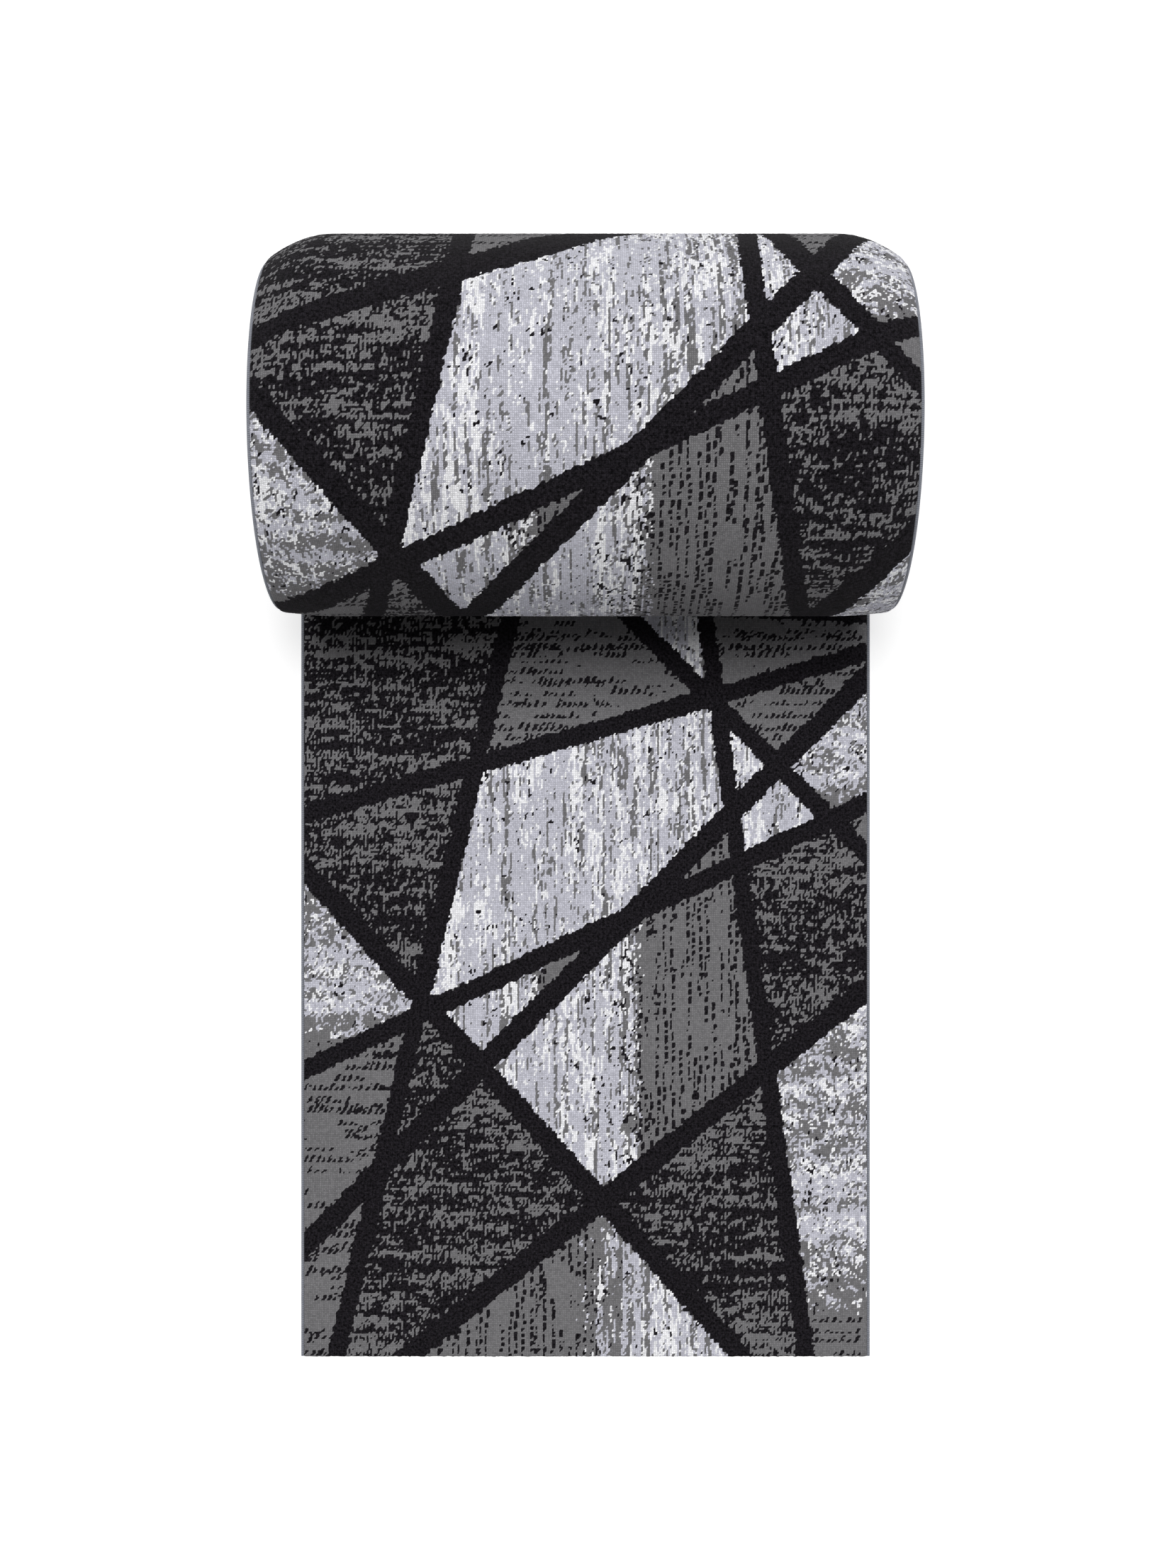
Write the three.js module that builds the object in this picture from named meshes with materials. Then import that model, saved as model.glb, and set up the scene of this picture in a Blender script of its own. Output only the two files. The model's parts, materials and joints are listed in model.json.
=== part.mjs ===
// Runner rug: a long cut-pile runner, partly laid out flat and partly wound on a cardboard core.
// Millimetres. X runs across the rug, +Y along it towards the roll, +Z up.
// The origin is on the floor, at the centre of the whole object's box.
import * as THREE from 'three';

// ---- Driving dimensions ----
const RUG_WIDTH = 800;
const OVERLOCK_WIDTH = 4.5;      // stitched binding along each long edge
const BACKING_THICKNESS = 3.2;   // woven ground with its latex coat
const PILE_HEIGHT = 6.5;         // cut tufts above the ground
const OVERLOCK_HEIGHT = 7.0;     // the binding stands lower than the pile tips
const GAP = 0.3;                 // clearance between neighbouring solids

const ROLL_RADIUS = 245;         // to the pile tips where the sheet joins the roll
const LEAVE_ANGLE = 40;          // degrees below the roll's horizontal axis plane
const STEPS_PER_TURN = 20;
const TURNS_PER_WINDING = 6;     // the roll is made as three windings, one inside the other
const WINDING_NAMES = ['roll_outer', 'roll_middle', 'roll_inner'];
const CORE_RADIUS = 44;
const CORE_BORE_RADIUS = 38;
const CORE_LENGTH = 796;
const CORE_CLEARANCE = 1.0;
const CORE_SEGMENTS = 40;

const AXIS_TO_FREE_END = 1265;   // roll axis to the rug's cut end, along the floor
const PANEL_COUNT = 6;           // hinged stretches of the free end
const PANEL_LENGTH = 150;

// ---- Values that follow from them ----
const DEG = Math.PI / 180;
const SHEET = BACKING_THICKNESS + GAP + PILE_HEIGHT;
const PITCH = SHEET + GAP;       // radius that one turn of the winding adds
const STEP_ANGLE = 360 / STEPS_PER_TURN;
const EDGE_POLAR = 180 + LEAVE_ANGLE;   // where the sheet joins the roll, seen along +X from +Y
const INNER_X = RUG_WIDTH / 2 - OVERLOCK_WIDTH - GAP;

// Radius of the pile tips after winding through `wound` degrees from the joining point inwards.
const tipRadius = (wound) => ROLL_RADIUS - (PITCH * wound) / 360;

const axisZ = tipRadius(EDGE_POLAR + 90);            // the winding's lowest point is on the floor
const axisY = (AXIS_TO_FREE_END - tipRadius(EDGE_POLAR)) / 2;
const woundTotal = ((ROLL_RADIUS - SHEET - CORE_RADIUS - CORE_CLEARANCE) / PITCH) * 360;

// The reverse bend turns the sheet from the roll's tangent to the floor.
const sinLeave = Math.sin(LEAVE_ANGLE * DEG);
const cosLeave = Math.cos(LEAVE_ANGLE * DEG);
const midRadius = ROLL_RADIUS - SHEET / 2;
const bendRadius = (axisZ - midRadius * sinLeave - SHEET / 2) / (1 + sinLeave);
const bendY = axisY - (midRadius + bendRadius) * cosLeave;
const bendZ = bendRadius + SHEET / 2;
const BEND_STEPS = 10;

const freeEndY = axisY - AXIS_TO_FREE_END;
const firstHingeY = freeEndY + PANEL_COUNT * PANEL_LENGTH;

// ---- Materials ----
const material = (color, roughness) =>
  new THREE.MeshStandardMaterial({ color, roughness, metalness: 0 });
const PILE_COLOR = 0x55555b;
const BACKING_COLOR = 0xb9ab8c;
const OVERLOCK_COLOR = 0x6b6d75;
const CORE_COLOR = 0xa98661;

// ---- The sheet's path ----
// A station gives a point of the sheet for each height above its underside.
function windingStation(wound) {
  const polar = (EDGE_POLAR - wound) * DEG;
  return (height) => {
    const radius = tipRadius(wound) - SHEET + height;
    return [axisY + radius * Math.cos(polar), axisZ + radius * Math.sin(polar)];
  };
}

// Half of the gap between two windings, as an angle.
const halfGapAngle = (wound) => GAP / 2 / tipRadius(wound) / DEG;

// Every turn has its corners at the same angles, so neighbouring turns never cross.
const firstCorner = EDGE_POLAR % STEP_ANGLE;
const lastCorner = firstCorner + Math.floor((woundTotal - firstCorner) / STEP_ANGLE) * STEP_ANGLE;

// The stretch of the winding from one wound angle to another, as the sheet runs inwards.
function windingStations(from, to) {
  const stations = [windingStation(from)];
  for (let wound = firstCorner; wound < to; wound += STEP_ANGLE) {
    if (wound > from) {
      stations.push(windingStation(wound));
    }
  }
  stations.push(windingStation(to));
  return stations;
}

function leadStations() {
  const stations = [];
  const turnAngle = 90 + LEAVE_ANGLE;
  const gapAngle = GAP / bendRadius / DEG;
  for (let i = 0; i <= BEND_STEPS; i += 1) {
    const turned = gapAngle + ((turnAngle - gapAngle) * i) / BEND_STEPS;
    const polar = (LEAVE_ANGLE - turned) * DEG;
    stations.push((height) => {
      const radius = bendRadius + SHEET / 2 - height;
      return [bendY + radius * Math.cos(polar), bendZ + radius * Math.sin(polar)];
    });
  }
  stations.push((height) => [firstHingeY + GAP / 2, height]);
  return stations;
}

function panelStations(index) {
  const farY = firstHingeY - index * PANEL_LENGTH - GAP / 2;
  const nearY = firstHingeY - (index + 1) * PANEL_LENGTH + (index + 1 < PANEL_COUNT ? GAP / 2 : 0);
  return [(height) => [farY, height], (height) => [nearY, height]];
}

// ---- Solids ----
// A layer of the sheet between two heights, extruded across the rug from x0 to x1.
function sheetLayer(stations, low, high, x0, x1) {
  const outline = stations.map((station) => station(low));
  outline.push(...stations.map((station) => station(high)).reverse());
  const shape = new THREE.Shape(outline.map(([y, z]) => new THREE.Vector2(y, z)));
  const geometry = new THREE.ExtrudeGeometry(shape, { depth: x1 - x0, bevelEnabled: false });
  geometry.translate(0, 0, x0);
  const alongX = new THREE.Matrix4().makeBasis(
    new THREE.Vector3(0, 1, 0),
    new THREE.Vector3(0, 0, 1),
    new THREE.Vector3(1, 0, 0),
  );
  return geometry.applyMatrix4(alongX);
}

function addMesh(group, name, geometry, color, roughness) {
  const mesh = new THREE.Mesh(geometry, material(color, roughness));
  mesh.name = name;
  group.add(mesh);
}

// One stretch of the sheet: pile, backing and the two bound edges.
function addStretch(group, stretch, stations) {
  const pileBase = BACKING_THICKNESS + GAP;
  const pile = sheetLayer(stations, pileBase, SHEET, -INNER_X, INNER_X);
  const backing = sheetLayer(stations, 0, BACKING_THICKNESS, -INNER_X, INNER_X);
  addMesh(group, `pile_${stretch}`, pile, PILE_COLOR, 0.95);
  addMesh(group, `backing_${stretch}`, backing, BACKING_COLOR, 0.9);
  for (const [side, sign] of [['left', -1], ['right', 1]]) {
    const xs = [sign * (RUG_WIDTH / 2 - OVERLOCK_WIDTH), (sign * RUG_WIDTH) / 2].sort((a, b) => a - b);
    const edge = sheetLayer(stations, 0, OVERLOCK_HEIGHT, xs[0], xs[1]);
    addMesh(group, `overlock_${stretch}_${side}`, edge, OVERLOCK_COLOR, 0.85);
  }
}

function coreTube() {
  const half = CORE_LENGTH / 2;
  const profile = [
    new THREE.Vector2(CORE_BORE_RADIUS, -half),
    new THREE.Vector2(CORE_RADIUS, -half),
    new THREE.Vector2(CORE_RADIUS, half),
    new THREE.Vector2(CORE_BORE_RADIUS, half),
    new THREE.Vector2(CORE_BORE_RADIUS, -half),
  ];
  return new THREE.LatheGeometry(profile, CORE_SEGMENTS);
}

// ---- Assembly ----
const rug = new THREE.Group();
WINDING_NAMES.forEach((name, index) => {
  const isFirst = index === 0;
  const isLast = index === WINDING_NAMES.length - 1;
  const start = firstCorner + index * TURNS_PER_WINDING * 360;
  const end = start + TURNS_PER_WINDING * 360;
  const from = isFirst ? 0 : start + halfGapAngle(start);
  const to = isLast ? lastCorner : end - halfGapAngle(end);
  addStretch(rug, name, windingStations(from, to));
});
addStretch(rug, 'lead', leadStations());
for (let index = 0; index < PANEL_COUNT; index += 1) {
  addStretch(rug, `panel_${index + 1}`, panelStations(index));
}

const coreGroup = new THREE.Group();
coreGroup.position.set(0, axisY, axisZ);
coreGroup.rotation.z = -Math.PI / 2;
addMesh(coreGroup, 'core_tube', coreTube(), CORE_COLOR, 0.8);
rug.add(coreGroup);

export default rug;
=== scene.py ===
"""Runner rug: a cut-pile runner, part wound on a cardboard core and part laid flat.

Metres, +Z up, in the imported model's frame. X runs across the rug and +Y along it towards the roll.
The pile is a grid with one vertex for each tuft. A woven card gives each tuft its yarn.
"""
import json
import math

import bpy
import numpy as np
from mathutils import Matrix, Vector


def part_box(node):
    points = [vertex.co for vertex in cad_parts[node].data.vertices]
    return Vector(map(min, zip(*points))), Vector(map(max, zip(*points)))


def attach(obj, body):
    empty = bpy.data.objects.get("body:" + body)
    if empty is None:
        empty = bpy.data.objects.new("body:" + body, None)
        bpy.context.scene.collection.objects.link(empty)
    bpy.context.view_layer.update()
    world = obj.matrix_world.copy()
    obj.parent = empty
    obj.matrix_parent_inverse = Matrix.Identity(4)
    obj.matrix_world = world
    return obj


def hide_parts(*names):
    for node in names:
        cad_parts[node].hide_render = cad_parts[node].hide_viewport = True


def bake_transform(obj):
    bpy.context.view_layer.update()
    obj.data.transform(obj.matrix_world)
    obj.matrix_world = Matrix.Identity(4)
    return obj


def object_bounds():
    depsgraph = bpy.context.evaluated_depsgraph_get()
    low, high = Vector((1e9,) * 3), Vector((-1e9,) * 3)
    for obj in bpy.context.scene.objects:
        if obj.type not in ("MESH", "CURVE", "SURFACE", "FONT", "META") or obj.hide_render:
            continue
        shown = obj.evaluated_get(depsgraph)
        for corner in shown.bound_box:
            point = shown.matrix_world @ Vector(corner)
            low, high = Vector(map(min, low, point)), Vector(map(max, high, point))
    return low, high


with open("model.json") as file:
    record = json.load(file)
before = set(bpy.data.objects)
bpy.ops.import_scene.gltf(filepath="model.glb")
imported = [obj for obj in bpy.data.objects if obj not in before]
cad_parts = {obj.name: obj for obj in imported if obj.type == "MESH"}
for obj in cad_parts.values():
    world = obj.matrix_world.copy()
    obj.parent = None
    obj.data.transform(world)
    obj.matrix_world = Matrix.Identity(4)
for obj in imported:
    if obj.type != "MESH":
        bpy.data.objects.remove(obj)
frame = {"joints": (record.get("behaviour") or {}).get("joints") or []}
cad_low, cad_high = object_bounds()

# ---- Sizes taken from the frame ----
DEG = math.pi / 180
HALF_WIDTH = cad_high.x
FREE_END_Y = cad_low.y
TIP_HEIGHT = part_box("pile_panel_1")[1].z          # sheet thickness, to the pile tips
BACKING_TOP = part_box("backing_panel_1")[1].z
PILE_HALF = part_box("pile_panel_1")[1].x
OVERLOCK_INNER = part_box("overlock_panel_1_right")[0].x
OVERLOCK_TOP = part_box("overlock_panel_1_right")[1].z
core_low, core_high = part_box("core_tube")
AXIS_Y = (core_low.y + core_high.y) / 2
AXIS_Z = (core_low.z + core_high.z) / 2
CORE_RADIUS = (core_high.z - core_low.z) / 2
CORE_HALF = core_high.x
CORE_BORE = 0.038
HINGES = [j for j in frame["joints"] if j["type"] == "hinge"]
PANEL = HINGES[0]["pos_m"][1] - HINGES[1]["pos_m"][1]

# ---- The winding ----
# The sheet joins the roll 40 degrees below its axis plane, and the radius shrinks evenly from there.
LEAVE = 40 * DEG
EDGE_POLAR = math.pi + LEAVE
top_radius = cad_high.z - AXIS_Z
PITCH = 2 * (top_radius - AXIS_Z)                 # half a turn lies between the roll's top and bottom
JOIN_RADIUS = AXIS_Z + PITCH * (EDGE_POLAR + math.pi / 2) / (2 * math.pi)
MID_RADIUS = JOIN_RADIUS - TIP_HEIGHT / 2
BEND_RADIUS = (AXIS_Z - MID_RADIUS * math.sin(LEAVE) - TIP_HEIGHT / 2) / (1 + math.sin(LEAVE))
BEND_Y = AXIS_Y - (MID_RADIUS + BEND_RADIUS) * math.cos(LEAVE)
BEND_Z = BEND_RADIUS + TIP_HEIGHT / 2
FLAT_LENGTH = BEND_Y - FREE_END_Y
BEND_LENGTH = BEND_RADIUS * (math.pi / 2 + LEAVE)
JOIN_S = FLAT_LENGTH + BEND_LENGTH
CORE_GAP = 0.0012                                 # between the innermost turn and the tube
LAST_WOUND = (JOIN_RADIUS - TIP_HEIGHT - CORE_RADIUS - CORE_GAP) / PITCH * 2 * math.pi
WOUND_LENGTH = MID_RADIUS * LAST_WOUND - PITCH * LAST_WOUND ** 2 / (4 * math.pi)

# The visual roll's ends are pulled in over SHOULDER, by DROP_FRONT at its front, growing to DROP_BACK at its
# back and fading out where the roll lies on the floor. Degrees are counted from the joining point.
SHOULDER = 0.085
DROP_FRONT = 0.013
DROP_BACK = 0.033
DROP_IN = 70                                      # the drop has come in by here
BACK_START, BACK_RANGE = 60, 150                  # from the front's drop to the back's
DROP_END, DROP_OUT = 345, 95                      # it is gone by DROP_END, over the last DROP_OUT degrees


def smoothstep(t):
    """0 up to t = 0, 1 from t = 1 on, and a smooth rise between."""
    t = np.clip(t, 0, 1)
    return t * t * (3 - 2 * t)


def wound_angle(along):
    """Angle wound from the joining point, for a length of sheet past that point."""
    curve = PITCH / (4 * math.pi)
    root = np.sqrt(np.maximum(MID_RADIUS ** 2 - 4 * curve * np.maximum(along, 0), 0))
    return (MID_RADIUS - root) / (2 * curve)


def sheet_point(x, s, h):
    """World points of the sheet, x across it, at length s from its free end and height h in it."""
    x, s, h = np.broadcast_arrays(np.asarray(x, float), np.asarray(s, float), np.asarray(h, float))
    turned = (s - FLAT_LENGTH) / BEND_RADIUS - math.pi / 2
    bend_r = BEND_RADIUS + TIP_HEIGHT / 2 - h
    wound = wound_angle(s - JOIN_S)
    roll_r = JOIN_RADIUS - PITCH * wound / (2 * math.pi) - TIP_HEIGHT + h
    turn = wound % (2 * math.pi) / DEG
    drop = DROP_FRONT + (DROP_BACK - DROP_FRONT) * smoothstep((turn - BACK_START) / BACK_RANGE)
    drop = drop * smoothstep(turn / DROP_IN) * smoothstep((DROP_END - turn) / DROP_OUT)
    drop = drop * np.clip((np.abs(x) - HALF_WIDTH + SHOULDER) / SHOULDER, 0, 1) ** 2
    roll_r = roll_r - drop * (roll_r - CORE_RADIUS) / (JOIN_RADIUS - CORE_RADIUS)
    polar = EDGE_POLAR - wound
    flat, bend = s <= FLAT_LENGTH, s <= JOIN_S
    y = np.where(bend, BEND_Y + bend_r * np.cos(turned), AXIS_Y + roll_r * np.cos(polar))
    z = np.where(bend, BEND_Z + bend_r * np.sin(turned), AXIS_Z + roll_r * np.sin(polar))
    return np.stack([x, np.where(flat, FREE_END_Y + s, y), np.where(flat, h, z)], -1)


# ---- Camera ----
CAMERA_HEIGHT = 2.76
CAMERA_BACK = 0.461                               # from the roll's axis towards the free end
CAMERA_Y = AXIS_Y - CAMERA_BACK
LENS = 44.97
SENSOR_WIDTH = 36.0
camera_data = bpy.data.cameras.new("camera")
camera_data.lens = LENS
camera_data.sensor_width = SENSOR_WIDTH
camera = bpy.data.objects.new("camera", camera_data)
camera.location = (0.0, CAMERA_Y, CAMERA_HEIGHT)
bpy.context.scene.collection.objects.link(camera)
bpy.context.scene.camera = camera
bpy.context.scene.view_settings.view_transform = "Standard"

# ---- The woven card ----
TUFTS_ACROSS = 310
ROWS_PER_HALF_PANEL = 29
ROW_PITCH = PANEL / 2 / ROWS_PER_HALF_PANEL
TUFT_PITCH = 2 * PILE_HALF / TUFTS_ACROSS
TURN_ROWS = math.ceil(2 * math.pi * MID_RADIUS / ROW_PITCH)
outer_last_row = math.ceil(JOIN_S / ROW_PITCH) + TURN_ROWS
BLACK, GREY, LILAC, WHITE = range(4)

# The black lines of the pattern: both ends (mm across, mm along) and the width in mm.
LINES = [
    ((0, 760), (800, 990), 26),
    ((0, 150), (800, 960), 30),
    ((0, 690), (620, 0), 28),
    ((0, 400), (800, 780), 27),
    ((150, 0), (800, 520), 29),
    ((400, 1100), (800, 700), 25),
    ((560, 1100), (710, 0), 24),
    ((50, 0), (310, 1100), 25),
]
# The line that ends one repeat and starts the next. Only the half towards the free end shows.
REPEAT = ((0, 1095), (800, 1055), 52)
# A point inside each field between the lines, and how the field is filled.
FIELDS = [
    ((510, 1060), "light"),
    ((650, 1030), "ticks"),
    ((380, 980), "ticks"),
    ((130, 970), "dark"),
    ((670, 900), "ticks"),
    ((630, 830), "light"),
    ((760, 820), "light_rows"),
    ((670, 770), "light"),
    ((790, 750), "ticks"),
    ((360, 720), "light"),
    ((590, 710), "dashes"),
    ((120, 700), "dark"),
    ((720, 610), "dark"),
    ((60, 510), "light_rows"),
    ((260, 470), "light_to_dashes"),
    ((510, 460), "light_to_dashes"),
    ((190, 410), "dark"),
    ((740, 370), "light_rows"),
    ((60, 350), "ticks"),
    ((250, 230), "dark"),
    ((580, 200), "dark"),
    ((30, 120), "ticks"),
    ((410, 80), "dashes_to_light"),
]

# How the pattern lies on the roll.
PATTERN_MIDDLE = 651.0                            # mm along the pattern at the middle of the roll's outline
ENLARGED = 1.19                                   # the roll's pattern against the flat part's, as seen
MOST_STRETCH = 3.2
EASE_ALONG = 0.05                                 # metres over which the stretch eases back
EASE_ACROSS = 0.08
CARD_SEED = 11


def pattern_place(x, s):
    """Where in the pattern (mm across, mm along) the tuft at x, s of the sheet lies.

    The photo shows the roll's pattern evenly enlarged, not foreshortened. So on the part of the roll that
    faces the camera the pattern is laid out as seen from the camera, but never stretched more than
    MOST_STRETCH. Beyond that part it eases back to its own length.
    """
    s_line = s[:, 0]
    tips = sheet_point(0.0, s_line, TIP_HEIGHT)
    scale = (CAMERA_HEIGHT - TIP_HEIGHT) / (CAMERA_HEIGHT - tips[:, 2])
    seen = (tips[:, 1] - CAMERA_Y) * scale
    wound = s_line > JOIN_S
    near = np.flatnonzero(wound)[seen[wound].argmin()]
    far = near + seen[near:].argmax()
    rows = np.arange(len(s_line))
    beyond = np.where(rows > far, s_line - s_line[far], 0.0)
    away = np.where(rows < near, s_line[near] - s_line, beyond)
    rate = np.maximum(np.gradient(seen, s_line) / ENLARGED, 1 / MOST_STRETCH)
    rate = np.where(away > 0, 1 - (1 - 1 / MOST_STRETCH) * np.exp(-away / EASE_ALONG), rate)
    along = 1000 * np.cumsum(rate) * (s_line[1] - s_line[0])
    middle = near + np.searchsorted(seen[near:far], (seen[near] + seen[far]) / 2)
    along += PATTERN_MIDDLE - along[middle]
    across = 1 + (scale[near] / ENLARGED - 1) * np.exp(-away / EASE_ACROSS)
    across = np.where((rows >= near) & (rows <= far), scale / ENLARGED, across)
    pattern_x = 1000 * (HALF_WIDTH + x)
    (x0, s0), (x1, s1), _width = REPEAT
    join = s0 + (s1 - s0) * (pattern_x - x0) / (x1 - x0)
    after = 1000 * s > join
    pattern_x = np.where(after, 1000 * (HALF_WIDTH + x * across[:, None]), pattern_x)
    pattern_s = np.where(after, along[:, None], 1000 * s)
    return pattern_x, np.where(after & (pattern_s > join), pattern_s - join, pattern_s)


def blurred(line, reach):
    """One line of noise under a bell curve, with its ends joined."""
    span = int(3 * reach) + 1
    kernel = np.exp(-0.5 * (np.arange(-span, span + 1) / reach) ** 2)
    kernel /= kernel.sum()
    return np.convolve(np.pad(line, span, mode="wrap"), kernel, "valid")


def smooth(noise, rows, columns):
    """Noise blurred over a reach of so many rows and columns."""
    for axis, reach in ((0, rows), (1, columns)):
        if reach > 0:
            noise = np.apply_along_axis(blurred, axis, noise, reach)
    return noise


def ranked(noise):
    """Noise spread evenly from 0 to 1."""
    order = noise.ravel().argsort().argsort()
    return (order / (noise.size - 1)).reshape(noise.shape)


class Noise:
    """Seeded noise over the whole card. Every call draws the next values."""

    def __init__(self, shape, seed):
        self.rng = np.random.default_rng(seed)
        self.shape = shape

    def grain(self, rows, columns):
        """One noise with so long a reach, spread evenly from 0 to 1."""
        return ranked(smooth(self.rng.random(self.shape), rows, columns))

    def mix(self, *parts):
        """Several grains by weight, spread evenly again."""
        return ranked(sum(weight * self.grain(rows, columns) for weight, rows, columns in parts))


def beside(x, s, line):
    """Distance from the line, positive on its left side."""
    (x0, s0), (x1, s1), _width = line
    return ((x1 - x0) * (s - s0) - (s1 - s0) * (x - x0)) / math.hypot(x1 - x0, s1 - s0)


def field_number(x, s):
    """One number for each field between the lines."""
    return sum((beside(x, s, line) > 0) * 2 ** k for k, line in enumerate(LINES))


def ramp(value, *stops):
    """Straight stretches between (value, result) stops."""
    return np.interp(value, [a for a, _ in stops], [b for _, b in stops])


def dash_columns(noise, spacings):
    """Columns of short upright dashes that waver from side to side."""
    rng = noise.rng
    rows, columns = noise.shape
    out = np.zeros(noise.shape, bool)
    column = 2
    while column < columns - 4:
        activity = ranked(smooth(rng.random((rows, 1)), 14, 0))[:, 0]
        share = rng.choice([0.45, 0.65, 0.95])
        shift = 0
        row = int(rng.integers(0, 4))
        while row < rows - 8:
            run = int(rng.choice([1, 2, 2, 3, 3, 4, 5]))
            if activity[row] < share:
                out[row:row + run, column + shift] = True
                if run > 1 and rng.random() < 0.65:
                    lean = int(rng.integers(0, 2))
                    out[row + lean:row + run, column + shift + 1] = True
                if rng.random() < 0.3:
                    shift = 1 - shift
            row += run + int(rng.choice([1, 1, 1, 2]))
        column += int(rng.choice(spacings))
    return out


def slanted(noise):
    """The same noise leaning to the right, one column for two rows."""
    return np.stack([np.roll(line, k // 2) for k, line in enumerate(noise)])


def dash_rows(noise, spacings):
    """Rows of short ticks that lean to the right."""
    rng = noise.rng
    rows, columns = noise.shape
    out = np.zeros(noise.shape, bool)
    row = 1
    while row < rows - 7:
        activity = ranked(smooth(rng.random((1, columns)), 0, 9))[0]
        share = rng.choice([0.3, 0.55, 0.85])
        tall = int(rng.choice([2, 3, 3, 4]))
        column = int(rng.integers(0, 3))
        while column < columns - 5:
            if activity[column] < share:
                for k in range(max(1, tall + int(rng.integers(-1, 2)))):
                    out[row + k, column + (k + 1) // 2] = True
                    if rng.random() < 0.7:
                        out[row + k, column + (k + 1) // 2 + 1] = True
                column += int(rng.choice([3, 3, 4]))
            else:
                column += 1
        row += int(rng.choice(spacings))
    return out


def weave(x, s):
    """The yarn of every tuft, from the pattern's fields and lines."""
    noise = Noise(x.shape, CARD_SEED)
    # each part of a mix: its weight, and its reach in rows and in columns
    white = noise.mix((1.1, 1.9, 0.42), (0.8, 0.6, 0.42), (0.6, 4, 0.5), (0.8, 22, 1.3), (0.5, 9, 5))
    streak = noise.mix((0.9, 1.5, 0.42), (0.6, 0.5, 0.42), (1.1, 9, 0.5), (0.9, 26, 0.7))
    fleck = noise.mix((1.0, 0.7, 0.5), (0.3, 3, 1.5))
    patch = noise.mix((1.0, 6, 6), (0.5, 1.5, 1.5))
    level_white = noise.mix((1.3, 0.5, 0.45), (1.0, 0.9, 0.6), (0.6, 1.3, 2.5), (0.6, 2.5, 18))
    level_dark = noise.mix((1.2, 0.5, 0.45), (1.0, 0.9, 0.7), (0.8, 1.5, 3), (0.8, 2.5, 20))
    mottle = ranked(
        0.9 * slanted(noise.grain(0.9, 0.3))
        + 0.8 * noise.grain(0.8, 0.3)
        + 0.4 * noise.grain(0.0, 0.0)
        + 1.0 * noise.grain(0.35, 2.2)
        + 0.75 * noise.grain(1.0, 12)
        + 0.1 * noise.grain(3, 5)
    )
    speck = noise.grain(0.7, 0.45)
    columns_on = dash_columns(noise, [3, 4, 4, 5])
    columns_more = dash_columns(noise, [4, 5, 6])
    rows_on = dash_rows(noise, [5, 6, 6, 7])
    rows_more = dash_rows(noise, [4, 5, 6])
    edge = noise.grain(1.0, 1.0)
    card = np.full(x.shape, GREY)

    def light(where, whites, greys, blacks, level=False):
        """Lilac with shares of the other yarns, in upright streaks or in level ones."""
        white_noise, grey_noise = (level_white, level_dark) if level else (white, streak)
        card[where] = LILAC
        card[where & (grey_noise > 1 - greys)] = GREY
        card[where & (white_noise > 1 - whites)] = WHITE
        card[where & (fleck > 1 - blacks)] = BLACK

    def dark(where, greys):
        """Black with grey patches. Some of the patches end in teeth, one tuft in two."""
        lit = np.where(where, mottle > 1 - greys, False)
        teeth = np.zeros_like(lit)
        teeth[:-1] = lit[1:] & (np.arange(x.shape[1]) % 2 == 0) & (patch[:-1] < 0.8)
        card[where] = np.where((lit | teeth)[where], GREY, BLACK)

    def columns(where, share, more):
        """Grey with columns of black dashes."""
        card[where] = GREY
        card[where & columns_on & (patch < share)] = BLACK
        card[where & columns_more & (patch > 1 - more)] = BLACK

    def ticks(where, share=1.0, more=0.0):
        """Grey with rows of black ticks."""
        card[where] = GREY
        card[where & rows_on & (patch < share)] = BLACK
        card[where & rows_more & (patch > 1 - more)] = BLACK

    def fill(kind, where):
        """Fill one field. Shares change with u across it and v along it, both 0 to 1."""
        u, v = ((place - place[where].min()) / np.ptp(place[where]) for place in (x, s))
        if kind == "dark":
            dark(where, ramp(v, (0.0, 0.5), (0.25, 0.24), (0.6, 0.28), (1.0, 0.55)))
        elif kind == "ticks":
            ticks(where, 0.9, ramp(v, (0.0, 0.1), (1.0, 0.8)))
        elif kind == "light_rows":
            ticks(where)
            whites = ramp(v, (0.1, 0.0), (0.3, 0.16), (0.5, 0.28), (0.7, 0.16), (1.0, 0.26))
            greys = ramp(v, (0.1, 1.0), (0.3, 0.5), (0.5, 0.34), (0.7, 0.54), (1.0, 0.38))
            light(where & (v + (edge - 0.5) * 0.04 > 0.12), whites, greys, 0.03, level=True)
        elif kind == "light":
            whites = ramp(u, (0.0, 0.42), (0.4, 0.16), (1.0, 0.34))
            greys = ramp(u, (0.0, 0.2), (0.4, 0.2), (1.0, 0.45))
            light(where, whites, greys, 0.02)
        else:
            # columns all over, which two of the three kinds then cover with streaks on one side
            columns(where, 0.95, ramp(u, (0.4, 0.4), (0.6, 0.2), (1.0, 0.5)))
        if kind == "light_to_dashes":
            whites = ramp(u, (0.0, 0.25), (0.1, 0.42), (0.2, 0.14), (0.4, 0.28), (0.55, 0.24))
            greys = ramp(u, (0.0, 0.55), (0.1, 0.16), (0.3, 0.2), (0.42, 0.34), (0.55, 0.72))
            blacks = ramp(u, (0.2, 0.003), (0.4, 0.02), (0.55, 0.2))
            light(where & (u + (speck - 0.5) * 0.04 < 0.55), whites, greys, blacks)
        if kind == "dashes_to_light":
            whites = ramp(u, (0.5, 0.07), (0.65, 0.2), (0.85, 0.42))
            greys = ramp(u, (0.5, 0.86), (0.65, 0.56), (0.85, 0.2))
            light(where & (u + (edge - 0.5) * 0.06 + (speck - 0.5) * 0.1 > 0.55), whites, greys, 0.03)

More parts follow.
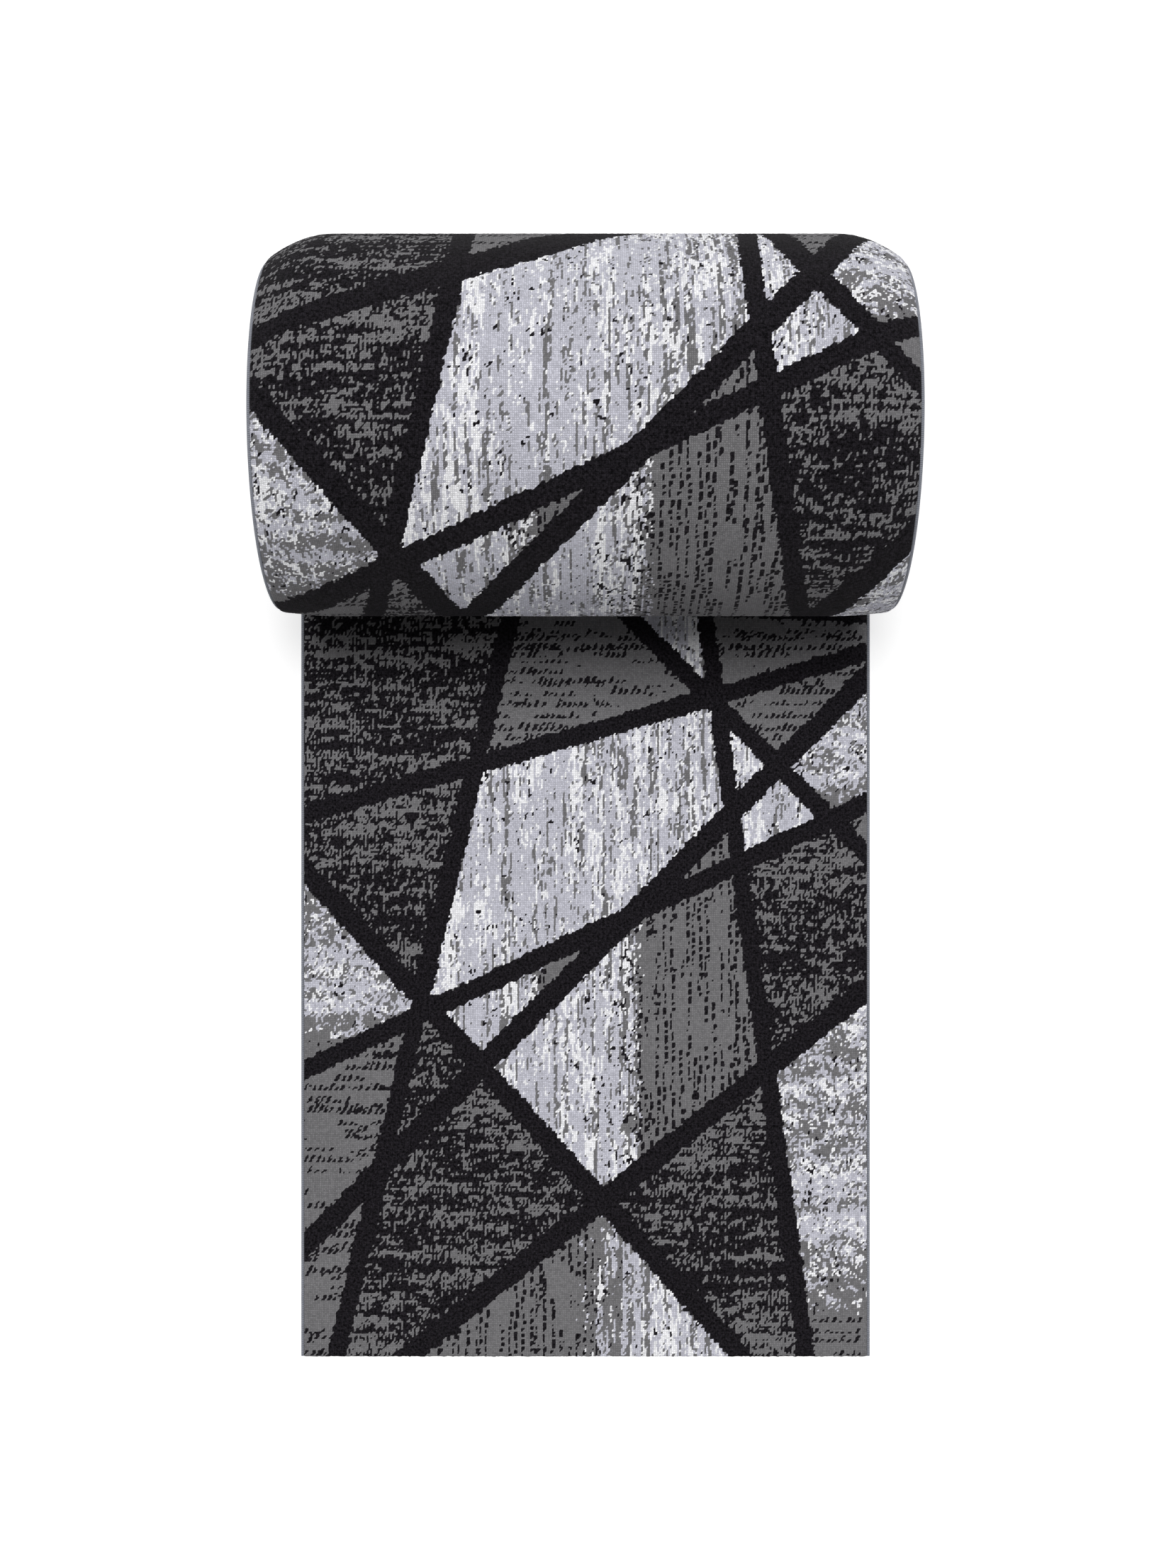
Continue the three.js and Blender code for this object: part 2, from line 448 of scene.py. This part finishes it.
    fields = field_number(x, s)
    for point, kind in FIELDS:
        fill(kind, fields == field_number(*point))
    ragged = (edge - 0.5) * 2.0 + (fleck - 0.5) * 3.4                     # mm
    for line in LINES + [REPEAT]:
        half_width = line[2] / 2
        card[abs(beside(x, s, line)) - half_width + ragged < 0] = BLACK
    return card


row_line = np.arange(outer_last_row + 1) * ROW_PITCH
column_line = -PILE_HALF + np.arange(TUFTS_ACROSS + 1) * TUFT_PITCH
tuft_x, tuft_s = np.meshgrid(column_line, row_line)
card = weave(*pattern_place(tuft_x, tuft_s))

# ---- Mesh helpers ----
def new_object(name, vertices, faces, material, flat_after=None):
    """A mesh object, smooth up to the face flat_after and flat from there on."""
    mesh = bpy.data.meshes.new(name)
    mesh.from_pydata(np.asarray(vertices).tolist(), [], faces)
    mesh.materials.append(material)
    smooth_faces = np.ones(len(mesh.polygons), bool)
    smooth_faces[flat_after or len(smooth_faces):] = False
    mesh.polygons.foreach_set("use_smooth", smooth_faces)
    obj = bpy.data.objects.new(name, mesh)
    bpy.context.scene.collection.objects.link(obj)
    return obj


def set_corner_uv(obj, name, vertex_uv):
    """A UV layer from one value for each vertex."""
    layer = obj.data.uv_layers.new(name=name)
    corners = np.empty(len(obj.data.loops), np.int32)
    obj.data.loops.foreach_get("vertex_index", corners)
    layer.data.foreach_set("uv", np.asarray(vertex_uv, np.float32)[corners].ravel())


# ---- Materials ----
class Nodes:
    """Short calls for building a node material."""

    def __init__(self, name):
        self.material = bpy.data.materials.new(name)
        self.material.use_nodes = True
        self.tree = self.material.node_tree
        self.shader = self.tree.nodes["Principled BSDF"]

    def add(self, kind, inputs=None, **settings):
        """A new node, whose inputs are values or other nodes' outputs."""
        node = self.tree.nodes.new(kind)
        for key, value in settings.items():
            setattr(node, key, value)
        for key, value in (inputs or {}).items():
            if isinstance(value, bpy.types.NodeSocket):
                self.tree.links.new(value, node.inputs[key])
            else:
                node.inputs[key].default_value = value
        return node

    def math(self, operation, a, b=0.0, c=0.0, clamp=False):
        node = self.add("ShaderNodeMath", {0: a, 1: b, 2: c}, operation=operation, use_clamp=clamp)
        return node.outputs[0]

    def mix(self, factor, a, b, blend="MIX"):
        node = self.add("ShaderNodeMix", {0: factor, 6: a, 7: b}, data_type="RGBA", blend_type=blend)
        return node.outputs[2]

    def over(self, a, b):
        """1 where a is clearly above b, 0 where it's clearly below."""
        return self.span(self.math("SUBTRACT", a, b), -0.08, 0.08, 0.0, 1.0)

    def span(self, value, low, high, at_low, at_high, **settings):
        """From at_low, where the value is low, to at_high, where it is high."""
        inputs = {0: value, 1: low, 2: high, 3: at_low, 4: at_high}
        return self.add("ShaderNodeMapRange", inputs, **settings).outputs[0]

    def tone(self, value):
        """The same value in red, green and blue."""
        return self.add("ShaderNodeCombineColor", {0: value, 1: value, 2: value}).outputs[0]

    def noise(self, vector, scale, detail=2.0, roughness=0.5):
        inputs = {"Vector": vector, "Scale": scale, "Detail": detail, "Roughness": roughness}
        return self.add("ShaderNodeTexNoise", inputs).outputs["Fac"]

    def set(self, **values):
        """Set or link the shader's inputs, named with _ for a space."""
        for key, value in values.items():
            socket = self.shader.inputs[key.replace("_", " ")]
            if isinstance(value, bpy.types.NodeSocket):
                self.tree.links.new(value, socket)
            else:
                socket.default_value = value


def linear(r, g, b):
    """A screen colour, 0 to 255, as a linear one."""
    return tuple(((c / 255 + 0.055) / 1.055) ** 2.4 for c in (r, g, b)) + (1.0,)


def pile_material():
    """The tufts' four yarns. Neighbouring tufts meet half way, in an edge roughened by the fibres."""
    n = Nodes("pile_yarn")
    place = n.add("ShaderNodeTexCoord").outputs["Object"]
    attribute = n.add("ShaderNodeAttribute", attribute_name="yarn").outputs["Color"]
    share = n.add("ShaderNodeSeparateColor", {0: attribute})
    stray_inputs = {"Vector": place, "Scale": 700.0, "Detail": 2.0, "Roughness": 0.6}
    stray = n.add("ShaderNodeTexNoise", stray_inputs).outputs["Color"]
    stray = n.add("ShaderNodeSeparateColor", {0: stray})
    grey, lilac, white = (share.outputs[k] for k in range(3))
    black = n.math("SUBTRACT", n.math("SUBTRACT", n.math("SUBTRACT", 1.0, grey), lilac), white)
    grey, lilac, white = (n.math("MULTIPLY_ADD", stray.outputs[k], 0.5, n.math("SUBTRACT", level, 0.25))
                          for k, level in enumerate((grey, lilac, white)))
    dark_top = n.math("MAXIMUM", black, grey)
    light_top = n.math("MAXIMUM", lilac, white)
    depth = n.span(n.noise(place, 300.0, 4.0, 0.75), 0.38, 0.64, 0.0, 1.0)
    dark = n.mix(n.over(grey, black), n.mix(depth, linear(8, 7, 9), linear(46, 43, 48)), YARNS[GREY])
    light = n.mix(n.over(white, lilac), YARNS[LILAC], YARNS[WHITE])
    colour = n.mix(n.over(light_top, dark_top), dark, light)
    tuft = n.add("ShaderNodeUVMap", uv_map="tuft").outputs["UV"]
    middle = n.add("ShaderNodeVectorMath", {0: tuft, 1: (0.5, 0.5, 0.0)}, operation="ADD").outputs[0]
    cell = n.add("ShaderNodeVectorMath", {0: middle}, operation="FLOOR").outputs[0]
    lot = n.add("ShaderNodeTexWhiteNoise", {"Vector": cell}, noise_dimensions="2D").outputs["Value"]
    part = n.add("ShaderNodeVectorMath", {0: middle}, operation="FRACTION").outputs[0]
    split = n.add("ShaderNodeSeparateXYZ", {0: part})
    across = n.math("ABSOLUTE", n.math("SUBTRACT", split.outputs[0], 0.5))
    along = n.math("ABSOLUTE", n.math("SUBTRACT", split.outputs[1], 0.5))
    reach = n.math("MAXIMUM", across, along)
    groove = n.span(reach, 0.25, 0.5, 0.0, 1.0, interpolation_type="SMOOTHSTEP")
    fibre = n.noise(place, 1700.0, 3.0, 0.65)
    drift = n.noise(place, 9.0, 3.0, 0.6)
    # fibre ends, tuft-to-tuft lot and slow drift of the shade
    shade = n.math("MULTIPLY_ADD", fibre, 0.6, 0.7)
    shade = n.math("MULTIPLY", shade, n.math("MULTIPLY_ADD", lot, 0.3, 0.85))
    shade = n.math("MULTIPLY", shade, n.math("MULTIPLY_ADD", drift, 0.16, 0.92))
    # painted shade: the colour is darker in the grooves between tufts, where the pile shades itself
    shade = n.math("MULTIPLY", shade, n.math("MULTIPLY_ADD", groove, -0.3, 1.0))
    n.set(Base_Color=n.mix(1.0, colour, n.tone(shade), "MULTIPLY"))
    tips = n.math("MULTIPLY_ADD", fibre, 0.7, n.math("MULTIPLY", lot, 0.35))
    height = n.math("MULTIPLY_ADD", groove, -1.0, tips)
    bump = n.add("ShaderNodeBump", {"Height": height, "Strength": 0.5, "Distance": 0.001})
    n.set(Normal=bump.outputs[0], Roughness=0.95, Specular_IOR_Level=0.03)
    n.set(Sheen_Weight=0.03, Sheen_Roughness=0.5)
    return n.material


def overlock_material():
    """Grey yarn wound round the edge, one ridge for each turn of the thread."""
    n = Nodes("overlock_yarn")
    wrap = n.add("ShaderNodeUVMap", uv_map="wrap").outputs["UV"]
    split = n.add("ShaderNodeSeparateXYZ", {0: wrap})
    place = n.add("ShaderNodeTexCoord").outputs["Object"]
    turn = n.math("FRACT", split.outputs[0])
    ridge = n.math("SINE", n.math("MULTIPLY", turn, math.pi))
    fibre = n.noise(place, 1800.0, 3.0, 0.6)
    lot = n.noise(place, 120.0, 2.0)
    # painted shade between the thread's turns and painted highlight on their ridges, with fibre noise on top
    shade = n.math("MULTIPLY_ADD", ridge, 0.5, 0.5)
    shade = n.math("MULTIPLY", shade, n.math("MULTIPLY_ADD", fibre, 0.5, 0.75))
    # one grey yarn, as its painted shaded tone and its painted lit tone
    dark, light = linear(52, 54, 60), linear(138, 141, 150)
    base = n.mix(shade, dark, light)
    tone = n.math("MULTIPLY_ADD", lot, 0.3, 0.85)
    n.set(Base_Color=n.mix(1.0, base, n.tone(tone), "MULTIPLY"))
    height = n.math("MULTIPLY_ADD", fibre, 0.3, ridge)
    bump = n.add("ShaderNodeBump", {"Height": height, "Strength": 0.6, "Distance": 0.0006})
    n.set(Normal=bump.outputs[0], Roughness=0.8, Specular_IOR_Level=0.25, Sheen_Weight=0.15)
    return n.material


def backing_material():
    """Flat jute and tape weave under a thin latex coat."""
    n = Nodes("backing_weave")
    weave = n.add("ShaderNodeUVMap", uv_map="weave").outputs["UV"]
    split = n.add("ShaderNodeSeparateXYZ", {0: weave})
    place = n.add("ShaderNodeTexCoord").outputs["Object"]
    warp = n.math("FRACT", split.outputs[0])
    weft = n.math("FRACT", split.outputs[1])
    warp_top = n.math("SINE", n.math("MULTIPLY", warp, math.pi))
    weft_top = n.math("SINE", n.math("MULTIPLY", weft, math.pi))
    parity = n.math("ADD", n.math("FLOOR", split.outputs[0]), n.math("FLOOR", split.outputs[1]))
    odd = n.math("PINGPONG", parity, 1.0)
    over = n.add("ShaderNodeMix", {0: odd, 2: warp_top, 3: weft_top}, data_type="FLOAT").outputs[0]
    fibre = n.noise(place, 1100.0, 4.0, 0.7)
    stain = n.noise(place, 14.0, 4.0, 0.6)
    jute = n.mix(fibre, linear(142, 121, 88), linear(205, 187, 150))
    latex = linear(188, 184, 170)
    pooled = n.math("MULTIPLY_ADD", stain, 0.8, 0.3)
    coat = n.math("MULTIPLY", n.math("SUBTRACT", 1.0, over), pooled, clamp=True)
    base = n.mix(coat, jute, latex)
    # painted shade: darker where a thread dips under, lighter on the threads' tops
    shade = n.math("MULTIPLY_ADD", over, 0.45, 0.6)
    n.set(Base_Color=n.mix(1.0, base, n.tone(shade), "MULTIPLY"))
    height = n.math("MULTIPLY_ADD", fibre, 0.35, over)
    bump = n.add("ShaderNodeBump", {"Height": height, "Strength": 0.7, "Distance": 0.0008})
    n.set(Normal=bump.outputs[0], Roughness=0.88, Specular_IOR_Level=0.2)
    return n.material


PLY_THICKNESS = 0.0009


def core_material():
    """Brown board, wound in a spiral strip, with its plies showing on the cut ends."""
    n = Nodes("core_board")
    place = n.add("ShaderNodeTexCoord").outputs["Object"]
    tube = n.add("ShaderNodeUVMap", uv_map="tube").outputs["UV"]
    split = n.add("ShaderNodeSeparateXYZ", {0: tube})
    seam = n.math("FRACT", n.math("MULTIPLY_ADD", split.outputs[1], 7.0, split.outputs[0]))
    from_seam = n.math("ABSOLUTE", n.math("SUBTRACT", seam, 0.5))
    line = n.span(from_seam, 0.0, 0.018, 1.0, 0.0)
    axis = (0.0, AXIS_Y, AXIS_Z)
    from_axis = n.add("ShaderNodeVectorMath", {0: place, 1: axis}, operation="SUBTRACT").outputs[0]
    flat = n.add("ShaderNodeVectorMath", {0: from_axis, 1: (0.0, 1.0, 1.0)}, operation="MULTIPLY").outputs[0]
    radius = n.add("ShaderNodeVectorMath", {0: flat}, operation="LENGTH").outputs["Value"]
    ply = n.math("SINE", n.math("MULTIPLY", radius, 2 * math.pi / PLY_THICKNESS))
    fibre = n.noise(place, 420.0, 5.0, 0.7)
    cloud = n.noise(place, 22.0, 3.0)
    board = n.mix(fibre, linear(139, 103, 66), linear(186, 150, 106))
    board = n.mix(n.math("MULTIPLY", line, 0.7), board, linear(84, 58, 36))
    tone = n.math("MULTIPLY_ADD", ply, 0.05, n.math("MULTIPLY_ADD", cloud, 0.24, 0.86))
    n.set(Base_Color=n.mix(1.0, board, n.tone(tone), "MULTIPLY"))
    height = n.math("MULTIPLY_ADD", line, -1.2, fibre)
    bump = n.add("ShaderNodeBump", {"Height": height, "Strength": 0.4, "Distance": 0.0005})
    n.set(Normal=bump.outputs[0], Roughness=0.82, Specular_IOR_Level=0.25)
    return n.material


YARNS = [linear(26, 24, 29), linear(122, 121, 123), linear(203, 203, 214), linear(252, 252, 255)]
PILE = pile_material()
OVERLOCK = overlock_material()
BACKING = backing_material()
BOARD = core_material()

# ---- The rug's pieces ----
def set_yarn(obj, yarn):
    """Each tuft's yarn as a colour: red for grey, green for lilac, blue for white, none for black."""
    yarn = np.asarray(yarn)
    shares = np.stack([yarn == GREY, yarn == LILAC, yarn == WHITE, np.ones_like(yarn, bool)], -1)
    attribute = obj.data.attributes.new("yarn", "FLOAT_COLOR", "POINT")
    attribute.data.foreach_set("color", shares.astype(np.float32).ravel())


def border(index):
    """The grid's outermost indices, once round."""
    return np.concatenate([index[0], index[1:-1, -1], index[-1, ::-1], index[-2:0:-1, 0]])


def grid_faces(index):
    """One quad for each cell of a grid of vertex indices."""
    return np.stack([index[:-1, :-1], index[:-1, 1:], index[1:, 1:], index[1:, :-1]], -1).reshape(-1, 4)


def wall_faces(first, count):
    """Quads from one loop of vertices to the next, where both have count vertices and start at first."""
    here = np.arange(count)
    after = np.roll(here, -1)
    return first + np.stack([here, count + here, count + after, after], -1)


JITTER_SEED = 5
TIP_WANDER = 0.0003                               # a tuft's tip, across and along
TIP_SINK = 0.0003                                 # the tips' mean depth under the CAD's surface
HEIGHT_WANDER = 0.0002
EDGE_ROUNDING = (0.0011, 0.0016)                  # how far the tips drop at an edge, and over what width
SIDE_GAP = 0.0004                                 # between the tips and the bound edge
LAYER_GAP = 0.0002                                # between backing and pile
BASE_STEP = 6                                     # tufts between the base's columns at the shoulders
SHOULDER_TUFTS = 30
rng = np.random.default_rng(JITTER_SEED)
jitter = rng.normal(0, 1, (3, outer_last_row + 1, TUFTS_ACROSS + 1)).clip(-2, 2)


def pile_piece(name, first, last):
    """Pile from row first to row last: tips, cut sides and base, one closed body."""
    row, column = np.meshgrid(np.arange(first, last + 1), np.arange(TUFTS_ACROSS + 1), indexing="ij")
    count = TUFTS_ACROSS + 1
    lines = last + 1 - first
    wander_x, wander_s, wander_h = (jitter[k, first:last + 1] for k in range(3))
    edge_gap = np.minimum(column, TUFTS_ACROSS - column) * TUFT_PITCH
    edge_drop, edge_width = EDGE_ROUNDING
    soften = np.exp(-edge_gap / edge_width) + np.exp(-row * ROW_PITCH / edge_width)
    x = -PILE_HALF + column * TUFT_PITCH + TIP_WANDER * wander_x
    x = x.clip(-OVERLOCK_INNER + SIDE_GAP, OVERLOCK_INNER - SIDE_GAP)
    s = row * ROW_PITCH + TIP_WANDER * wander_s
    h = TIP_HEIGHT - TIP_SINK + HEIGHT_WANDER * wander_h - edge_drop * soften
    tips = sheet_point(x, s, h).reshape(-1, 3)
    index = np.arange(lines * count).reshape(lines, count)
    ring = border(index)
    # the walls have their own vertices, so that the pile's shading runs on evenly into the next stretch
    start = len(tips) + len(ring)
    # the base has few columns, closer together at the roll's shoulders
    left_cuts = range(0, SHOULDER_TUFTS + 1, BASE_STEP)
    right_cuts = range(TUFTS_ACROSS - SHOULDER_TUFTS, TUFTS_ACROSS + 1, BASE_STEP)
    cuts = [*left_cuts, *right_cuts]
    ring_place = {int(v): start + k for k, v in enumerate(ring)}
    inner = index[1:-1, cuts[1:-1]].ravel()
    ring_place.update((int(v), start + len(ring) + k) for k, v in enumerate(inner))
    below = np.concatenate([ring, inner])
    base_x = (-PILE_HALF + column * TUFT_PITCH).ravel()[below]
    base_s = row.ravel()[below] * ROW_PITCH
    base = sheet_point(base_x, base_s, BACKING_TOP + LAYER_GAP)
    quads = grid_faces(index)
    walls = wall_faces(len(tips), len(ring))
    cells = []
    for k in range(lines - 1):
        for c0, c1 in zip(cuts, cuts[1:]):
            upper = index[k + 1, c0:c1 + 1] if k == lines - 2 else index[k + 1, [c0, c1]]
            lower = index[k, c0:c1 + 1] if k == 0 else index[k, [c0, c1]]
            cells.append([ring_place[int(v)] for v in (*upper, *lower[::-1])])
    vertices = np.concatenate([tips, tips[ring], base])
    faces = quads.tolist() + walls.tolist() + cells
    obj = new_object(name, vertices, faces, PILE, flat_after=len(quads))
    yarn = card[first:last + 1].ravel()
    set_yarn(obj, np.concatenate([yarn, yarn[ring], yarn[below]]))
    uv = np.stack([column, row], -1).reshape(-1, 2).astype(float)
    set_corner_uv(obj, "tuft", np.concatenate([uv, uv[ring], uv[below] + (2.0, 2.0)]))
    return obj


def slab(name, s_values, x_values, low, high, material, uv_name, uv_scale):
    """A closed layer of the sheet between two heights."""
    s, x = np.meshgrid(s_values, x_values, indexing="ij")
    layers = [sheet_point(x, s, height).reshape(-1, 3) for height in (high, low)]
    index = np.arange(s.size).reshape(s.shape)
    top = grid_faces(index)
    ring = border(index)
    walls = wall_faces(2 * s.size, len(ring))
    faces = np.concatenate([top, top[:, ::-1] + s.size, walls])
    vertices = np.concatenate([*layers, layers[0][ring], layers[1][ring]])
    obj = new_object(name, vertices, faces.tolist(), material, flat_after=2 * len(top))
    uv = np.stack([x * uv_scale[0], s * uv_scale[1]], -1).reshape(-1, 2)
    set_corner_uv(obj, uv_name, np.concatenate([uv, uv, uv[ring], uv[ring]]))
    return obj


WRAP_PITCH = 0.0026                               # one turn of the overlock's thread
EDGE_SIDES = 10
BEAD_INSET = 0.0002                               # the bead's mean surface lies this far inside the CAD's


def overlock_piece(name, sign, s_start, s_end, step, ridge):
    """The bound edge: a rounded bead with the slanting ridges of its thread."""
    count = max(2, round((s_end - s_start) / step)) + 1
    s = np.linspace(s_start, s_end, count)
    angle = 2 * math.pi * np.arange(EDGE_SIDES) / EDGE_SIDES
    half_w = (HALF_WIDTH - OVERLOCK_INNER) / 2 - BEAD_INSET
    half_h = OVERLOCK_TOP / 2 - BEAD_INSET
    ss, aa = np.meshgrid(s, angle, indexing="ij")
    phase = ss / WRAP_PITCH + aa / (2 * math.pi)
    swell = 1 + ridge * (np.abs(np.sin(math.pi * phase)) - 0.6)
    square = (np.abs(np.cos(aa)) ** 4 + np.abs(np.sin(aa)) ** 4) ** -0.25
    across = np.cos(aa) * square * half_w * swell
    h = OVERLOCK_TOP / 2 + np.sin(aa) * square * half_h * swell
    x = sign * ((HALF_WIDTH + OVERLOCK_INNER) / 2 + across)
    vertices = sheet_point(x, ss, h.clip(0.0, None)).reshape(-1, 3)
    index = np.arange(ss.size).reshape(ss.shape)
    nxt = np.roll(index, -1, axis=1)
    quads = np.stack([index[:-1], index[1:], nxt[1:], nxt[:-1]], -1).reshape(-1, 4)
    # the caps have their own vertices too, and the second one faces the other way
    caps = [list(range(ss.size, ss.size + EDGE_SIDES))]
    caps.append(list(range(ss.size + EDGE_SIDES, ss.size + 2 * EDGE_SIDES))[::-1])
    if sign < 0:
        quads = quads[:, ::-1]
        caps = [c[::-1] for c in caps]
    ends = np.concatenate([index[0], index[-1]])
    vertices = np.concatenate([vertices, vertices[ends]])
    obj = new_object(name, vertices, quads.tolist() + caps, OVERLOCK, flat_after=len(quads))
    uv = np.stack([phase, aa], -1).reshape(-1, 2)
    set_corner_uv(obj, "wrap", np.concatenate([uv, uv[ends]]))
    return obj


CORE_NAME = "core_tube_board"


def core_piece():
    """Cardboard tube with slightly softened ends."""
    half, wall, soft = CORE_HALF, CORE_RADIUS - CORE_BORE, 0.0008
    sides = 120
    profile = [
        (-half + soft, CORE_RADIUS),
        (half - soft, CORE_RADIUS),
        (half, CORE_RADIUS - soft),
        (half, CORE_RADIUS - wall / 2),
        (half, CORE_BORE + soft),
        (half - soft, CORE_BORE),
        (-half + soft, CORE_BORE),
        (-half, CORE_BORE + soft),
        (-half, CORE_RADIUS - wall / 2),
        (-half, CORE_RADIUS - soft),
    ]
    ring = 2 * math.pi * np.arange(sides) / sides
    vertices, uv = [], []
    for x, radius in profile:
        for a in ring:
            vertices.append((x, AXIS_Y + radius * math.cos(a), AXIS_Z + radius * math.sin(a)))
            uv.append((x * 10, a / (2 * math.pi)))
    faces = []
    for k in range(len(profile)):
        this_ring = k * sides
        next_ring = (k + 1) % len(profile) * sides
        for i in range(sides):
            j = (i + 1) % sides
            faces.append([this_ring + i, next_ring + i, next_ring + j, this_ring + j])
    obj = new_object(CORE_NAME, vertices, faces, BOARD)
    set_corner_uv(obj, "tube", uv)
    return obj


# ---- Floor and light ----
def floor_piece():
    """A pale floor with a slight glow."""
    n = Nodes("studio_floor")
    n.set(Base_Color=(0.85, 0.85, 0.85, 1.0), Roughness=0.9, Specular_IOR_Level=0.1)
    n.set(Emission_Color=(1.0, 1.0, 1.0, 1.0), Emission_Strength=0.3)
    size = 30.0
    corners = [(-size, -size, 0), (size, -size, 0), (size, size, 0), (-size, size, 0)]
    obj = new_object("floor", corners, [[0, 1, 2, 3]], n.material)
    return obj


floor = floor_piece()


def add_sun(name, energy, angle, direction):
    """A sun lamp as wide as angle, shining along direction."""
    data = bpy.data.lights.new(name, "SUN")
    data.energy = energy
    data.angle = angle
    obj = bpy.data.objects.new(name, data)
    obj.location = -direction
    obj.rotation_euler = direction.to_track_quat("-Z", "Y").to_euler()
    bpy.context.scene.collection.objects.link(obj)


WORLD_STRENGTH = 0.16
SUN_STRENGTH = 2.85
SUN_WIDTH = 30 * DEG
SUN_TILT = 15 * DEG                               # towards the roll's far side
world = bpy.data.worlds.new("studio")
world.use_nodes = True
background = world.node_tree.nodes["Background"]
background.inputs[0].default_value = (1.0, 1.0, 1.0, 1.0)
background.inputs[1].default_value = WORLD_STRENGTH
bpy.context.scene.world = world
add_sun("softbox", SUN_STRENGTH, SUN_WIDTH, Vector((0.0, -math.tan(SUN_TILT), -1.0)))

# ---- The rug's stretches ----
# Each stretch of the free end runs from mid panel to mid panel, across the hinge between them.
PANEL_ROWS = 2 * ROWS_PER_HALF_PANEL
WEAVE_SCALE = (400.0, 380.0)                      # the backing's threads for each metre, across and along
BACKING_COLUMNS = 81
RIDGE = 0.09                                      # swell of the overlock's thread, as a share of its radius


def add_stretch(name, first, last, nodes, ride=None, hinge=None, held="laid", rests=None):
    """Pile, backing and both bound edges between two row lines."""
    s0, s1 = first * ROW_PITCH, last * ROW_PITCH
    backing_rows = max(2, round((last - first) / 3)) + 1
    s_values = np.linspace(s0, s1, backing_rows)
    x_values = np.linspace(-PILE_HALF, PILE_HALF, BACKING_COLUMNS)
    pieces = [
        pile_piece(f"{name}_pile", first, last),
        slab(f"{name}_backing", s_values, x_values, 0.0, BACKING_TOP, BACKING, "weave", WEAVE_SCALE),
    ]
    for side, sign in (("left", -1), ("right", 1)):
        pieces.append(overlock_piece(f"{name}_overlock_{side}", sign, s0, s1, WRAP_PITCH / 3, RIDGE))
    finish_stretch(pieces, nodes, ride, hinge)


def finish_stretch(pieces, nodes, ride, hinge):
    kinds = ("pile", "backing", "overlock", "overlock")
    for piece, kind, node_group in zip(pieces, kinds, nodes):
        if hinge is None:
            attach(piece, ride)
        else:
            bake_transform(piece)
        if node_group:
            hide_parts(*node_group)


def sheet_nodes(stretch):
    """The stretch's CAD nodes, in the order of its pieces."""
    kinds = ("pile_{}", "backing_{}", "overlock_{}_left", "overlock_{}_right")
    return [[kind.format(stretch)] for kind in kinds]


NO_NODES = [[], [], [], []]
add_stretch("free_end", 0, ROWS_PER_HALF_PANEL, NO_NODES, ride=HINGES[-1]["child"], rests=floor)
for k in range(len(HINGES)):
    middle = PANEL_ROWS * (len(HINGES) - k)
    add_stretch(f"hinge_{k + 1}", middle - ROWS_PER_HALF_PANEL, middle + ROWS_PER_HALF_PANEL,
                sheet_nodes(f"panel_{k + 1}"), hinge=k, rests=floor)


def row_on_roll(degrees):
    """The row that lies so many degrees past the joining point, on the outermost turn."""
    return round((JOIN_S + degrees * DEG * MID_RADIUS) / ROW_PITCH)


lead_row = PANEL_ROWS * len(HINGES) + ROWS_PER_HALF_PANEL
front_row = row_on_roll(25)
top_row = row_on_roll(130)
back_row = row_on_roll(235)
add_stretch("lead", lead_row, front_row, sheet_nodes("lead"), ride="roll", rests=floor)
ROLL = {"ride": "roll", "held": "folded", "rests": CORE_NAME}
add_stretch("roll_front", front_row, top_row, sheet_nodes("roll_outer"), **ROLL)
add_stretch("roll_back", top_row, back_row, NO_NODES, **ROLL)
add_stretch("roll_under", back_row, outer_last_row, NO_NODES, **ROLL)


STEPS_PER_TURN = 80
YARN_STRIDE = 29                                  # rows of the card between one step's yarns and the next's
WINDING_TIP_SINK = 0.0004                         # clearances between one turn and the next
WINDING_BACK_SINK = 0.0001
SHOULDER_COLUMNS = (0.82, 0.88, 0.94, 1.0)        # shares of the half width, where the shoulder bends


def inner_windings():
    """The turns inside the outermost one, seen only at the roll's two ends."""
    s0 = outer_last_row * ROW_PITCH
    s1 = JOIN_S + WOUND_LENGTH
    s_values = [s0]
    while s_values[-1] < s1:
        radius = MID_RADIUS - PITCH * float(wound_angle(s_values[-1] - JOIN_S)) / (2 * math.pi)
        s_values.append(s_values[-1] + radius * 2 * math.pi / STEPS_PER_TURN)
    s_values = np.array(s_values[:-1] + [s1])
    right = np.array(SHOULDER_COLUMNS)
    x_values = np.concatenate([-right[::-1], [0.0], right]) * PILE_HALF
    pile_low, pile_high = BACKING_TOP + LAYER_GAP, TIP_HEIGHT - WINDING_TIP_SINK
    tufts = (1 / TUFT_PITCH, 1 / ROW_PITCH)
    pile = slab("windings_pile", s_values, x_values, pile_low, pile_high, PILE, "tuft", tufts)
    ring = border(np.arange(len(s_values) * len(x_values)).reshape(len(s_values), -1))
    rows = np.arange(len(s_values)) * YARN_STRIDE % len(card)
    columns = np.interp(x_values, [-PILE_HALF, PILE_HALF], [2, TUFTS_ACROSS - 2]).astype(int)
    yarn = card[np.ix_(rows, columns)].ravel()
    set_yarn(pile, np.concatenate([yarn, yarn, yarn[ring], yarn[ring]]))
    backing = slab("windings_backing", s_values, x_values, WINDING_BACK_SINK, BACKING_TOP,
                   BACKING, "weave", WEAVE_SCALE)
    # the hidden turns' bound edges are smooth, with longer steps
    edges = [overlock_piece(f"windings_overlock_{side}", sign, s0, s1, WRAP_PITCH * 0.8, 0.0)
             for side, sign in (("left", -1), ("right", 1))]
    nodes = [a + b for a, b in zip(sheet_nodes("roll_middle"), sheet_nodes("roll_inner"))]
    finish_stretch([pile, backing, *edges], nodes, "roll", None)


core = core_piece()
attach(core, "core")
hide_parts("core_tube")
inner_windings()
